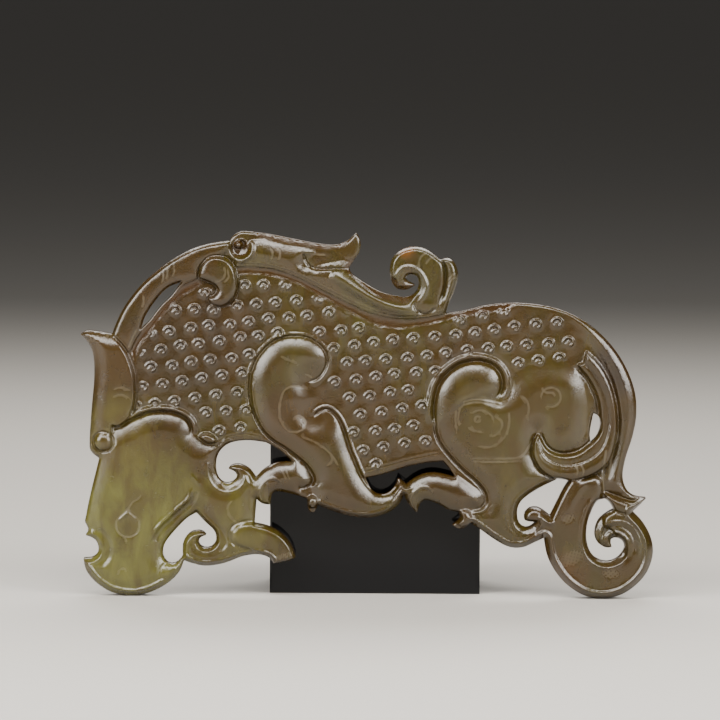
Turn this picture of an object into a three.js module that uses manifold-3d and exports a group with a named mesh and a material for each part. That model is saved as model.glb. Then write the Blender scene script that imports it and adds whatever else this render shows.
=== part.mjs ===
// An openwork plaque carved from one piece of jade, in the form of a crouching horned beast,
// standing on its chin and its tail scroll in front of a black acrylic block.
// Three pads of museum putty between them keep the plaque upright.
// Millimetres, +Z up. The face of the plaque looks along -Y.

import * as THREE from 'three';
import { mergeVertices } from 'three/addons/utils/BufferGeometryUtils.js';
import Module from 'manifold-3d';

const GROUND_THICKNESS = 4.8; // flat ground of the carving, face to face
const FORM_HEIGHT = 0.6; // how far head, legs and tail stand above the ground, on each face
const PIERCING_EXCESS = 4; // how much longer than the ground is thick each piercing cut is
const OUTLINE_STEP = 0.8; // longest straight stretch along the pierced outline
const FORM_STEP = 1.6; // and along the outline of a raised form
const STANDING_TILT = THREE.MathUtils.degToRad(-0.37); // brings chin and tail scroll level

const BLOCK_WIDTH = 42.2;
const BLOCK_DEPTH = 26;
const BLOCK_HEIGHT = 41;
const BLOCK_CHAMFER = 0.4;
const BLOCK_CENTRE_X = 1.8;
const TOUCHING_GAP = 0.3; // kept between pieces that touch

const PAD_THICKNESS = 1.0;
const PAD_SIDES = 20;
const PAD_FACE_SHARE = 0.86; // how much of a pad's radius its flat faces take

// The drawing of the plaque. x runs along the body from the head, z is height.
// A line is a list of runs. Each run is a smooth curve that starts where the run before it ended,
// so a corner is the point where two runs meet.

const OUTER_EDGE = [
  // ear
  [[-56.8, 53.0], [-55.8, 53.6], [-54.9, 53.7], [-53.3, 53.5], [-50.5, 53.0]],
  // mane
  [
    [-49.8, 55.0], [-48.0, 58.6], [-45.0, 62.5], [-41.7, 65.5], [-38.1, 68.1], [-34.0, 70.2],
    [-30.1, 71.2], [-27.1, 71.6],
  ],
  // crest curl and the top of the wing
  [
    [-26.5, 72.5], [-25.3, 73.3], [-24.1, 73.5], [-19.6, 73.0], [-14.5, 72.0], [-9.8, 71.1],
    [-6.2, 70.8], [-3.8, 71.5], [-1.9, 73.2],
  ],
  // underside of the wing tip
  [[-1.1, 71.8], [-1.2, 69.6], [-2.5, 67.6], [-3.3, 66.2]],
  // back, rising into the hollow of the back scroll
  [
    [-2.6, 64.9], [0.3, 62.9], [3.3, 61.3], [6.2, 60.6], [8.2, 60.4], [9.8, 61.2], [10.5, 62.5],
    [10.5, 63.8], [9.9, 64.7], [8.9, 64.9], [8.0, 64.5], [8.2, 63.8], [9.9, 62.9],
  ],
  // round the outside of the back scroll
  [
    [8.7, 62.1], [7.3, 61.9], [6.0, 62.3], [5.1, 63.8], [4.8, 65.8], [5.4, 68.2], [7.2, 69.8],
    [9.9, 70.4], [12.3, 69.8], [15.0, 67.8],
  ],
  // second lobe
  [[16.2, 68.2], [17.6, 67.4], [18.4, 65.0], [17.7, 61.8], [16.5, 59.0], [15.9, 57.1]],
  // rump, down to the tip of the tail wing
  [
    [19.4, 57.6], [23.9, 58.7], [29.0, 59.2], [34.0, 58.9], [39.0, 57.8], [44.0, 55.3],
    [48.4, 51.4], [51.6, 46.9], [53.6, 41.8], [54.0, 37.1], [53.3, 32.8], [51.9, 28.3],
    [51.3, 24.6], [52.1, 21.9], [53.6, 20.6], [56.0, 20.2],
  ],
  [[54.9, 19.0], [53.3, 17.5]],
  // tail scroll
  [
    [55.5, 15.1], [57.0, 12.2], [57.4, 9.0], [56.3, 5.5], [54.2, 2.9], [51.3, 0.9], [47.6, 0.0],
    [43.8, 0.6], [40.6, 2.5], [38.1, 5.2], [36.3, 8.6], [35.6, 12.2],
  ],
  // hind foot and its heel spur
  [[33.7, 11.3], [31.3, 10.3], [28.6, 10.4], [25.6, 12.0], [22.4, 14.3], [20.9, 15.2]],
  [[19.9, 14.3], [18.6, 14.0], [17.3, 14.8]],
  [[18.4, 15.6], [18.9, 16.5], [18.6, 17.4]],
  // hind shank and claw
  [[16.6, 17.9], [14.4, 19.1], [12.2, 19.8], [10.9, 19.2], [10.3, 17.2]],
  [[8.9, 18.7], [7.6, 20.8]],
  // fore foot and its heel
  [[6.6, 19.0], [4.3, 17.2], [0.5, 16.3], [-4.0, 16.8], [-9.6, 18.8]],
  [[-9.9, 17.9], [-10.7, 17.1], [-11.5, 18.1], [-11.7, 20.1]],
  // fore shank and claw
  [[-14.2, 20.9], [-16.8, 21.5], [-18.6, 21.2], [-19.1, 18.9]],
  [[-20.6, 19.1], [-21.8, 20.0]],
  // throat tuft
  [[-22.0, 17.6], [-22.2, 15.1]],
  // beard
  [[-19.6, 14.5], [-17.0, 13.1], [-15.0, 10.9], [-14.0, 8.3]],
  [[-15.6, 7.5], [-18.3, 7.0]],
  [[-19.4, 8.3], [-21.6, 8.9], [-24.6, 8.5], [-28.4, 7.1], [-32.0, 6.6], [-34.6, 7.1], [-36.3, 7.7]],
  // chin
  [
    [-37.2, 5.5], [-39.2, 3.4], [-42.3, 1.6], [-46.0, 0.6], [-50.2, 1.1], [-53.6, 3.0],
    [-55.8, 5.6], [-56.4, 8.1],
  ],
  // mouth and lip
  [[-54.8, 8.2], [-53.7, 9.0], [-53.4, 10.4], [-54.1, 11.9], [-56.0, 12.8]],
  [[-55.4, 13.8], [-56.1, 15.5]],
  // bridge of the nose
  [[-55.0, 20.9], [-53.2, 28.2]],
  // forehead and the front of the ear
  [
    [-54.8, 29.6], [-55.1, 31.6], [-54.7, 37.7], [-54.1, 44.5], [-54.3, 48.9], [-55.3, 51.4],
    [-56.8, 53.0],
  ],
];

const NECK_HOLE = [
  [
    [-20.0, 31.4], [-23.7, 31.8], [-27.2, 31.2], [-29.3, 29.3], [-29.9, 26.6], [-29.4, 24.3],
    [-28.0, 23.2], [-26.3, 23.6], [-25.7, 24.7], [-26.2, 25.6], [-27.4, 26.1],
  ],
  [[-26.6, 26.8], [-25.0, 26.9], [-23.2, 26.0], [-21.9, 24.3]],
  [[-20.3, 25.9], [-18.2, 27.1], [-16.4, 27.4], [-14.7, 27.5]],
  [[-17.2, 29.9], [-20.0, 31.4]],
];

const JAW_HOLE = [
  [
    [-33.8, 17.3], [-35.8, 16.1], [-38.6, 13.2], [-40.2, 10.9], [-40.5, 8.7], [-39.4, 7.1],
    [-37.8, 7.2], [-36.6, 8.6], [-36.6, 10.1], [-36.3, 11.7], [-34.9, 13.3], [-32.9, 13.6],
    [-31.8, 12.8],
  ],
  [
    [-33.1, 12.2], [-33.3, 11.0], [-32.3, 10.2], [-30.8, 10.4], [-29.9, 11.7], [-30.2, 13.6],
    [-32.2, 15.6], [-33.8, 17.3],
  ],
];

const BELLY_HOLE = [
  [[0.0, 24.2], [3.8, 25.1], [8.2, 26.5], [12.0, 27.3], [15.4, 27.6]],
  [[16.6, 26.3], [17.8, 24.4]],
  [[14.4, 25.2], [12.0, 25.1], [9.8, 24.2], [8.1, 22.9]],
  [[7.3, 23.6], [6.5, 24.2]],
  [[5.8, 22.5], [4.4, 21.2], [2.7, 20.9], [1.2, 21.8], [0.0, 24.2]],
];

const HOCK_HOLE = [
  [
    [38.4, 24.1], [34.4, 22.1], [31.3, 19.9], [30.3, 17.9], [30.5, 15.5], [31.6, 14.3],
    [33.0, 14.5], [33.9, 15.4],
  ],
  [
    [32.8, 15.5], [31.8, 15.8], [31.7, 17.0], [32.7, 18.1], [34.2, 18.3], [35.6, 17.6],
    [36.8, 16.6],
  ],
  [[38.2, 19.4], [39.4, 21.8], [40.6, 23.7]],
  [[39.5, 23.9], [38.4, 24.1]],
];

const SCROLL_HOLE = [
  [
    [47.8, 20.1], [46.2, 19.6], [45.0, 17.4], [44.2, 14.6], [44.2, 11.4], [45.4, 8.6],
    [47.9, 7.4], [50.3, 8.1], [51.7, 10.1], [51.2, 11.7], [49.9, 12.3], [48.9, 11.8],
    [49.2, 10.4],
  ],
  [[47.9, 10.3], [46.2, 11.5], [45.7, 13.4], [46.5, 15.7], [48.2, 17.2], [49.5, 17.9]],
  [[48.7, 19.3], [47.8, 20.1]],
];

const MANE_SLIT = [
  [[-44.7, 54.2], [-43.9, 56.6], [-41.9, 59.7], [-39.4, 62.3], [-36.8, 63.4]],
  [[-38.5, 60.9], [-40.9, 58.5], [-42.9, 55.9], [-44.7, 54.2]],
];

const TAIL_SLIT = [
  [[45.4, 37.2], [46.5, 36.6], [46.8, 34.6], [46.2, 32.7], [44.9, 31.3]],
  [[44.7, 33.4], [45.4, 37.2]],
];

const HOLES = [NECK_HOLE, JAW_HOLE, BELLY_HOLE, HOCK_HOLE, SCROLL_HOLE, MANE_SLIT, TAIL_SLIT];

// The forms that stand above the ground, each drawn inside the outer edge.

const HEAD_FORM = [
  [
    [-55.6, 52.6], [-53.0, 52.9], [-50.6, 52.2], [-48.3, 50.3], [-46.6, 47.0], [-45.9, 43.0],
    [-46.1, 39.5], [-46.7, 36.9],
  ],
  [
    [-44.0, 38.2], [-41.0, 38.9], [-38.0, 38.7], [-35.4, 37.3], [-33.8, 34.6], [-33.4, 32.6],
    [-31.3, 29.8], [-30.9, 26.4], [-31.0, 22.6], [-33.6, 19.6], [-36.6, 17.0], [-39.4, 13.8],
    [-41.1, 10.9], [-41.2, 8.2], [-40.0, 5.4], [-43.0, 3.0], [-46.4, 1.9], [-50.0, 2.3],
    [-53.0, 4.1], [-54.7, 6.4], [-52.6, 8.6], [-52.4, 11.2], [-54.3, 13.6], [-54.4, 17.0],
    [-53.6, 22.0], [-52.3, 28.2],
  ],
  [
    [-54.1, 31.0], [-53.9, 37.0], [-53.3, 44.0], [-53.2, 48.4], [-54.2, 50.8], [-55.6, 52.6],
  ],
];

const FORE_LEG_FORM = [
  [
    [-10.3, 44.2], [-8.4, 45.8], [-7.8, 48.6], [-9.4, 51.3], [-13.0, 52.9], [-17.0, 52.3],
    [-20.8, 49.5], [-22.9, 45.0], [-23.2, 40.0], [-21.9, 35.4], [-19.2, 31.9], [-14.8, 28.8],
    [-11.2, 26.2], [-9.2, 23.2], [-8.6, 20.0], [-4.0, 18.0], [0.4, 17.4], [4.0, 18.4],
    [4.6, 20.2], [1.6, 20.8], [-0.5, 23.0], [-1.6, 26.5], [-3.4, 31.6], [-5.6, 36.4],
    [-8.0, 38.4], [-9.6, 41.0], [-10.3, 44.2],
  ],
];

const HIND_LEG_FORM = [
  [
    [27.2, 41.0], [28.6, 43.4], [27.4, 46.9], [24.0, 49.0], [19.6, 48.9], [15.4, 46.4],
    [13.0, 42.2], [12.6, 37.0], [13.8, 31.6], [17.4, 27.6], [21.6, 24.2], [24.4, 21.4],
    [24.8, 18.4], [22.4, 16.2], [27.0, 12.8], [31.0, 11.6], [33.4, 12.6], [30.6, 13.2],
    [29.2, 16.2], [29.6, 19.6], [33.0, 22.8], [33.0, 26.6], [32.4, 31.0], [33.6, 35.0],
    [31.6, 38.6], [27.2, 41.0],
  ],
];

const TAIL_FORM = [
  [
    [34.4, 33.0], [35.8, 30.2], [39.3, 28.6], [43.6, 29.6], [45.6, 30.6], [47.6, 32.6],
    [48.0, 36.8], [46.4, 42.6], [43.2, 47.4], [45.6, 50.8], [49.4, 46.6], [51.8, 41.2],
    [52.4, 36.8], [51.4, 32.2], [50.0, 27.6], [49.2, 22.4], [51.6, 18.8], [54.4, 13.4],
    [55.4, 9.2], [53.0, 4.6], [47.6, 2.0], [42.4, 3.4], [38.6, 8.2], [37.8, 13.8], [40.6, 20.0],
    [42.0, 24.0], [37.6, 24.8], [34.2, 27.6], [33.5, 30.4], [34.4, 33.0],
  ],
];

const FORMS = [HEAD_FORM, FORE_LEG_FORM, HIND_LEG_FORM, TAIL_FORM];

// Where each pad of putty lies behind the plaque, and its radius.
const PADS = [
  { name: 'putty_pad_left', x: -14.0, z: 36.5, radius: 3.4 },
  { name: 'putty_pad_right', x: 18.0, z: 36.5, radius: 3.4 },
  { name: 'putty_pad_low', x: -1.5, z: 19.2, radius: 1.9 },
];

const material = (color, roughness) => new THREE.MeshStandardMaterial({ color, roughness, metalness: 0 });
const jade = () => material(0x6f6238, 0.3);
const blackAcrylic = () => material(0x0b0c0d, 0.06);
const putty = () => material(0xd9d6cc, 0.85);

const wasm = await Module();
wasm.setup();

/** The points along a drawn line, evenly spaced on each run. */
function pointsAlong(line, step) {
  const points = [];
  let start = null;
  for (const run of line) {
    const through = run.map(([x, z]) => new THREE.Vector2(x, z));
    if (start) through.unshift(start);
    const curve = new THREE.SplineCurve(through);
    const steps = Math.ceil(curve.getLength() / step);
    points.push(...curve.getSpacedPoints(steps).slice(0, -1));
    start = through.at(-1);
  }
  return points;
}

/** A closed three.js geometry as a solid that can be joined and cut. */
function solidFrom(geometry) {
  geometry.deleteAttribute('normal');
  geometry.deleteAttribute('uv');
  const merged = mergeVertices(geometry);
  return new wasm.Manifold(
    new wasm.Mesh({
      numProp: 3,
      vertProperties: new Float32Array(merged.attributes.position.array),
      triVerts: new Uint32Array(merged.index.array),
    }),
  );
}

/** A slab of the given thickness inside this edge, centred on y = 0. */
function slab(edge, thickness, step = OUTLINE_STEP) {
  const shape = new THREE.Shape(pointsAlong(edge, step));
  const geometry = new THREE.ExtrudeGeometry(shape, { depth: thickness, bevelEnabled: false });
  geometry.translate(0, 0, -thickness / 2);
  geometry.rotateX(Math.PI / 2);
  return solidFrom(geometry);
}

/** The solid as a three.js geometry. */
function geometryFrom(solid) {
  const { vertProperties, triVerts } = solid.getMesh();
  const geometry = new THREE.BufferGeometry();
  geometry.setAttribute('position', new THREE.BufferAttribute(vertProperties, 3));
  geometry.setIndex(new THREE.BufferAttribute(triVerts, 1));
  geometry.computeVertexNormals();
  return geometry;
}

function named(name, geometry, surface) {
  const mesh = new THREE.Mesh(geometry, surface);
  mesh.name = name;
  return mesh;
}

/** The carving: a pierced slab with the head, the legs and the tail standing above it on both faces. */
function jadePlaque() {
  let carved = slab(OUTER_EDGE, GROUND_THICKNESS);
  const formThickness = GROUND_THICKNESS + 2 * FORM_HEIGHT;
  for (const form of FORMS) carved = carved.add(slab(form, formThickness, FORM_STEP));
  for (const hole of HOLES) carved = carved.subtract(slab(hole, GROUND_THICKNESS + PIERCING_EXCESS));
  return named('jade_plaque', geometryFrom(carved), jade());
}

/** A polished block with a fine chamfer along every edge, its front face at y = front. */
function displayBlock(front) {
  const shape = new THREE.Shape();
  const halfWidth = BLOCK_WIDTH / 2 - BLOCK_CHAMFER;
  const halfHeight = BLOCK_HEIGHT / 2 - BLOCK_CHAMFER;
  shape.moveTo(-halfWidth, -halfHeight);
  shape.lineTo(halfWidth, -halfHeight);
  shape.lineTo(halfWidth, halfHeight);
  shape.lineTo(-halfWidth, halfHeight);
  shape.closePath();
  const depth = BLOCK_DEPTH - 2 * BLOCK_CHAMFER;
  const geometry = new THREE.ExtrudeGeometry(shape, {
    depth,
    bevelThickness: BLOCK_CHAMFER,
    bevelSize: BLOCK_CHAMFER,
    bevelSegments: 1,
  });
  geometry.translate(0, 0, -depth / 2);
  geometry.rotateX(Math.PI / 2);
  const block = named('display_block', geometry, blackAcrylic());
  block.position.set(BLOCK_CENTRE_X, front + BLOCK_DEPTH / 2, BLOCK_HEIGHT / 2);
  return block;
}

/** A pressed pad of putty: a disc that bulges a little at mid thickness. */
function puttyPad({ name, x, z, radius }, back) {
  const half = PAD_THICKNESS / 2;
  const profile = [
    new THREE.Vector2(0, -half),
    new THREE.Vector2(radius * PAD_FACE_SHARE, -half),
    new THREE.Vector2(radius, 0),
    new THREE.Vector2(radius * PAD_FACE_SHARE, half),
    new THREE.Vector2(0, half),
  ];
  const pad = named(name, new THREE.LatheGeometry(profile, PAD_SIDES), putty());
  pad.position.set(x, back + TOUCHING_GAP + half, z);
  return pad;
}

const plaque = jadePlaque();
plaque.rotation.y = STANDING_TILT;
plaque.updateMatrixWorld();
plaque.position.z = -new THREE.Box3().setFromObject(plaque, true).min.z;

const backOfForms = GROUND_THICKNESS / 2 + FORM_HEIGHT;
const blockFront = backOfForms + PAD_THICKNESS + 2 * TOUCHING_GAP;

const figurine = new THREE.Group();
figurine.add(plaque);
figurine.add(displayBlock(blockFront));
for (const pad of PADS) figurine.add(puttyPad(pad, backOfForms));

// The origin is the middle of the footprint, on the surface that the figurine stands on.
figurine.updateMatrixWorld(true);
const box = new THREE.Box3().setFromObject(figurine, true);
const centre = box.getCenter(new THREE.Vector3());
figurine.position.set(-centre.x, -centre.y, -box.min.z);

export default figurine;
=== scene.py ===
"""A carved jade plaque in front of its black acrylic block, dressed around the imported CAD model.

The plaque's visible surface is a relief: one height above the middle plane for every point of the
drawing, the same on both faces. The drawing is in millimetres: x runs from the head to the tail,
z is height, and y comes from the relief. Everything else is in metres, in the model's frame.
"""

import math

import bmesh
import bpy
import numpy as np
from mathutils import Matrix, Vector


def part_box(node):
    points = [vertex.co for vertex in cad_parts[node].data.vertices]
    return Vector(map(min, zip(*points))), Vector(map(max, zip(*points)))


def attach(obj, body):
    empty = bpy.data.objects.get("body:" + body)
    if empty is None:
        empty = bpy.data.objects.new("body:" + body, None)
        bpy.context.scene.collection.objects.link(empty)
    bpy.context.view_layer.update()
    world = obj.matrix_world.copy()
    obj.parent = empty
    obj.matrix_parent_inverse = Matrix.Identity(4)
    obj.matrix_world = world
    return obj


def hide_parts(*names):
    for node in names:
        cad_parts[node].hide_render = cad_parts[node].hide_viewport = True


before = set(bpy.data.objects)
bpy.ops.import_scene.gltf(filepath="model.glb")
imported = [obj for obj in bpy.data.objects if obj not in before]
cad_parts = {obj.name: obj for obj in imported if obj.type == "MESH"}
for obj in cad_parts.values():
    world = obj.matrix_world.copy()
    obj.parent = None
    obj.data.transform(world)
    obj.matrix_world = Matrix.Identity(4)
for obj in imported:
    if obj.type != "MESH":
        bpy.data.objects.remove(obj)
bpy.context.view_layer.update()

MM = 0.001
BLOCK_CENTRE_X = 1.8  # the block's middle, in the drawing
OFF_MIDDLE = 0.0137  # keeps the cutting plane clear of the mesh's own points
STANDING_TILT = math.radians(0.37)  # the drawing is turned by this until chin and tail both stand

GRID = 0.14  # spacing of the relief's points
FACES_KEPT = 195000  # the relief is thinned to this many triangles where it is nearly flat

WALL = 1.3  # half height of the plaque's side wall
EDGE_BEVEL = 0.5  # how far in from the edge the face takes to level out
EDGE_REACH = 3.5  # how far in from the edge the distance to it is known
GROUND = 1.65  # half thickness at the ground between the bosses
FORM = 1.32  # how far head, legs and tail stand above the ground
WIDE_SHOULDER = 3.0  # shoulders narrower than this are rounder
EVEN_OUT = 0.015  # a faint ripple that keeps flat stone from thinning to long triangles


# ---------------------------------------------------------------- lines


def closed(line):
    """The line with its first point repeated at its end."""
    return np.vstack([line, line[:1]])


def spline(points, step=0.25):
    """A smooth line through the points, sampled about every step."""
    p = np.array(points, float)
    p = np.vstack([p[:1], p, p[-1:]])
    out = []
    for a, b, c, d in zip(p[:-3], p[1:-2], p[2:-1], p[3:]):
        n = max(2, int(math.ceil(np.linalg.norm(c - b) / step)))
        t = (np.arange(n) / n)[:, None]
        out.append(0.5 * (2 * b + (c - a) * t + (2 * a - 5 * b + 4 * c - d) * t**2
                          + (3 * b - a - 3 * c + d) * t**3))
    out.append(p[-1:])
    return np.vstack(out)


def arc(centre, radius, start, end, step=0.25):
    """An arc from start to end degrees, counter-clockwise if end is larger."""
    n = max(4, int(abs(math.radians(end - start)) * radius / step))
    a = np.radians(np.linspace(start, end, n + 1))
    return np.stack([centre[0] + radius * np.cos(a), centre[1] + radius * np.sin(a)], 1)


# ---------------------------------------------------------------- the outline, from the CAD solid


def section_loops(node):
    """The closed loops where the node's middle plane cuts it, in the drawing's frame."""
    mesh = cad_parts[node].data
    co = np.array([v.co for v in mesh.vertices], float) / MM
    mesh.calc_loop_triangles()
    tri = co[np.array([t.vertices for t in mesh.loop_triangles])]
    middle = (co[:, 1].min() + co[:, 1].max()) / 2 + OFF_MIDDLE
    side = tri[:, :, 1] - middle
    links = {}
    for t, s in zip(tri, side):
        if s.min() >= 0 or s.max() <= 0:
            continue
        ends = []
        for i in range(3):
            j = (i + 1) % 3
            if s[i] * s[j] < 0:
                k = s[i] / (s[i] - s[j])
                point = t[i] + k * (t[j] - t[i])
                ends.append((round(point[0], 3), round(point[2], 3)))
        if ends[0] != ends[1]:
            links.setdefault(ends[0], []).append(ends[1])
            links.setdefault(ends[1], []).append(ends[0])
    loops = []
    while links:
        start = next(iter(links))
        loop, here = [start], start
        while True:
            onward = [n for n in links.get(here, []) if n in links and n != here]
            if not onward:
                break
            nxt = onward[0]
            links[here].remove(nxt)
            links[nxt].remove(here)
            if not links[here]:
                del links[here]
            if nxt == start:
                break
            loop.append(nxt)
            here = nxt
        links = {k: v for k, v in links.items() if v}
        if len(loop) > 4:
            loops.append(np.array(loop))
    return [to_drawing(loop) for loop in loops]


def drawing_origin():
    """Where the drawing's x = 0 lies, in millimetres in the model's frame."""
    low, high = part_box("display_block")
    return (low.x + high.x) / 2 / MM - BLOCK_CENTRE_X


def to_drawing(points):
    """Points (x, z) of the standing plaque in millimetres, turned back into the drawing."""
    x = points[:, 0] - drawing_origin()
    z = points[:, 1]
    c, s = math.cos(STANDING_TILT), math.sin(STANDING_TILT)
    return np.stack([x * c + z * s, z * c - x * s], 1)


def smooth_loop(loop, corner=60.0, step=0.3):
    """The loop redrawn as a smooth curve that keeps its corners."""
    ahead = np.roll(loop, -1, 0) - loop
    heading = np.degrees(np.arctan2(ahead[:, 1], ahead[:, 0]))
    turn = (heading - np.roll(heading, 1) + 180) % 360 - 180
    loop, turn = loop[np.abs(turn) > 0.05], turn[np.abs(turn) > 0.05]
    ahead = np.roll(loop, -1, 0) - loop
    heading = np.degrees(np.arctan2(ahead[:, 1], ahead[:, 0]))
    turn = (heading - np.roll(heading, 1) + 180) % 360 - 180
    corners = np.flatnonzero(np.abs(turn) > corner)
    if len(corners) == 0:
        corners = np.array([0])
    loop = np.roll(loop, -corners[0], 0)
    stops = list((corners - corners[0]) % len(loop)) + [len(loop)]
    ring = closed(loop)
    runs = [spline(ring[a:b + 1], step)[:-1] for a, b in zip(stops[:-1], stops[1:])]
    return np.vstack(runs)


# ---------------------------------------------------------------- the relief


def offset(line, distance):
    """The line moved sideways, to its left where distance is positive."""
    ahead = np.gradient(line, axis=0)
    ahead /= np.maximum(np.linalg.norm(ahead, axis=1, keepdims=True), 1e-9)
    return line + distance * np.stack([-ahead[:, 1], ahead[:, 0]], 1)


class Relief:
    """Half thickness of the plaque, in millimetres, on a fine grid over the drawing."""

    def __init__(self, loops):
        points = np.vstack(loops)
        low, high = points.min(0) - 3 * GRID, points.max(0) + 3 * GRID
        self.xs = np.arange(low[0], high[0], GRID)
        self.zs = np.arange(low[1], high[1], GRID)
        self.x, self.z = np.meshgrid(self.xs, self.zs)
        inside = np.zeros(self.x.shape, bool)
        for loop in loops:
            inside ^= self.within(loop)
        near = self.near([closed(loop) for loop in loops], EDGE_REACH)[0]
        self.edge = np.where(inside, near, -near)
        self.height = np.full(self.x.shape, GROUND)
        self.bevel = np.full(self.x.shape, EDGE_BEVEL)
        self.russet_share = np.zeros(self.x.shape)
        # pale share: real on the unpolished floors of cuts, a painted highlight on raised crests
        self.pale_cut_and_highlight = np.zeros(self.x.shape)

    def within(self, loop):
        """Which points lie inside a closed loop."""
        inside = np.zeros(self.x.shape, bool)
        for (xa, za), (xb, zb) in zip(loop, np.roll(loop, -1, 0)):
            if za == zb:
                continue
            rows = np.flatnonzero((self.zs >= min(za, zb)) & (self.zs < max(za, zb)))
            if len(rows):
                cross = xa + (self.zs[rows] - za) / (zb - za) * (xb - xa)
                inside[rows] ^= self.xs[None, :] > cross[:, None]
        return inside

    def near(self, lines, reach):
        """Distance to the nearest line, capped at reach, and how far along that line, 0 to 1."""
        best = np.full(self.x.shape, float(reach))
        along = np.zeros(self.x.shape)
        for line in lines:
            count = len(line) - 1
            for i, (a, b) in enumerate(zip(line[:-1], line[1:])):
                j0, j1 = np.searchsorted(self.xs, [min(a[0], b[0]) - reach, max(a[0], b[0]) + reach])
                i0, i1 = np.searchsorted(self.zs, [min(a[1], b[1]) - reach, max(a[1], b[1]) + reach])
                if j0 == j1 or i0 == i1:
                    continue
                x, z = self.x[i0:i1, j0:j1] - a[0], self.z[i0:i1, j0:j1] - a[1]
                dx, dz = b - a
                k = np.clip((x * dx + z * dz) / max(dx * dx + dz * dz, 1e-12), 0, 1)
                d = np.hypot(x - k * dx, z - k * dz)
                part = best[i0:i1, j0:j1]
                closer = d < part
                part[closer] = d[closer]
                along[i0:i1, j0:j1][closer] = ((i + k) / count)[closer]
        return best, along

    def soft_mask(self, outline, soft):
        """1 well inside an outline and 0 outside it, with a soft border."""
        d = self.near([closed(outline)], soft)[0]
        return np.where(self.within(outline), d / soft, 0)

    def form(self, outline, height, shoulder, base=0.0, open_side=None, soft=4.0, to_edge=True,
             mouth=None, crisp=None):
        """Raises a domed form inside an outline, from base to height over a shoulder's width.

        It slopes gently down, over soft, to an open side. A mouth closes the outline there without
        a shoulder. A crisp width is for the outline only: the stone's own edge keeps the shoulder.
        """
        inside = self.within(outline if mouth is None else np.vstack([outline, mouth]))
        line = outline if open_side is not None else closed(outline)
        step = crisp or shoulder
        d = self.near([line], step)[0] * shoulder / step
        if to_edge:
            d = np.minimum(d, np.clip(self.edge, 0, shoulder))
        rise = 1 - (1 - d / shoulder) ** 2
        if shoulder < WIDE_SHOULDER:
            rise = np.sqrt(rise)
        if open_side is not None:
            fade = np.clip(self.near([np.array(open_side, float)], soft)[0] / soft, 0, 1)
            rise = rise * fade * fade * (3 - 2 * fade)
        lifted = GROUND + base + (height - base) * rise
        self.height[inside] = np.maximum(self.height, lifted)[inside]

    def sink(self, outline, depth, slope=0.3, russet_share=0.0):
        """Lowers everything inside an outline, with short sloping sides, and colours it darker russet."""
        share = self.soft_mask(outline, slope)
        self.height -= depth * share
        self.russet_share = np.maximum(self.russet_share, russet_share * share)

    def wide_bevel(self, outline, width, soft=1.2):
        """Makes the bevel at the stone's edge wider inside an outline."""
        share = self.soft_mask(outline, soft)
        self.bevel = self.bevel * (1 - share) + width * share

    def edge_ridge(self, outline, inset, width, height, soft=1.0):
        """A ridge that follows the stone's edge at an inset, inside an outline."""
        share = self.soft_mask(outline, soft)
        across = np.clip(np.abs(self.edge - inset) / (width / 2), 0, 1)
        self.height += height * share * (0.5 + 0.5 * np.cos(np.pi * across))

    def stroke(self, line, width, height, taper=0.2):
        """A ridge along a line, or along a smooth line through a list of points, whose ends die away.

        A negative height makes a groove.
        """
        line = spline(line) if isinstance(line, list) else line
        half = width / 2
        d, along = self.near([line], half)
        fade = np.clip(np.minimum(along, 1 - along) / taper, 0, 1) if taper else 1
        shape = (0.5 + 0.5 * np.cos(np.pi * d / half)) * np.sqrt(fade)
        self.height += height * shape
        return shape

    def threads(self, line, gap=0.62):
        """Two fine raised threads side by side, each with a painted highlight: a pale colour along its crest.
        """
        for side in (0.0, gap):
            self.stroke(offset(line, side), 0.50, 0.17, taper=0.04)
            # painted highlight: the crest of each thread is coloured pale
            self.pale_cut_and_highlight = np.maximum(self.pale_cut_and_highlight, 0.35 * self.stroke(offset(line, side), 0.3, 0.0, 0.04))

    def engrave(self, points, width=0.26, depth=0.08):
        """A hairline cut by hand. It shows pale, because its floor is unpolished."""
        self.pale_cut_and_highlight = np.maximum(self.pale_cut_and_highlight, self.stroke(points, width, -depth, taper=0.12))

    def boss(self, cx, cz, mask, turned):
        """A grain boss: a nub whose outer turn rises at the lower left and coils over it, clockwise."""
        reach = 1.7
        j0, j1 = np.searchsorted(self.xs, [cx - reach, cx + reach])
        i0, i1 = np.searchsorted(self.zs, [cz - reach, cz + reach])
        x, z = self.x[i0:i1, j0:j1] - cx, self.z[i0:i1, j0:j1] - cz
        r = np.hypot(x, z)
        sweep = (205 + turned - np.degrees(np.arctan2(z, x))) % 360
        coil = 1.20 - 0.0019 * sweep
        body = 0.28 * np.sqrt(np.clip(1 - (r / 1.1) ** 2, 0, 1))
        ends = np.clip(sweep / 20, 0, 1) * np.clip((325 - sweep) / 80, 0, 1)
        turn = 0.38 * np.clip(1 - ((r - coil) / 0.22) ** 2, 0, 1) * ends
        cut = 0.38 * np.exp(-(((r - coil + 0.37) / 0.17) ** 2)) * ends
        nub = 0.12 * np.clip(1 - ((x - 0.05) ** 2 + (z + 0.05) ** 2) / 0.2, 0, 1)
        self.height[i0:i1, j0:j1] += (body + turn - cut + nub) * mask[i0:i1, j0:j1]

    def uneven(self):
        """The slight waviness of a hand-ground face."""
        waves = ((0.9, 0.3, 0.0), (-0.4, 0.8, 1.3), (0.7, -0.9, 2.1), (1.7, 1.1, 0.6), (-1.3, 1.9, 4.0))
        for u, v, start in waves:
            self.height += 0.014 * np.sin(u * self.x + v * self.z + start)

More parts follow.
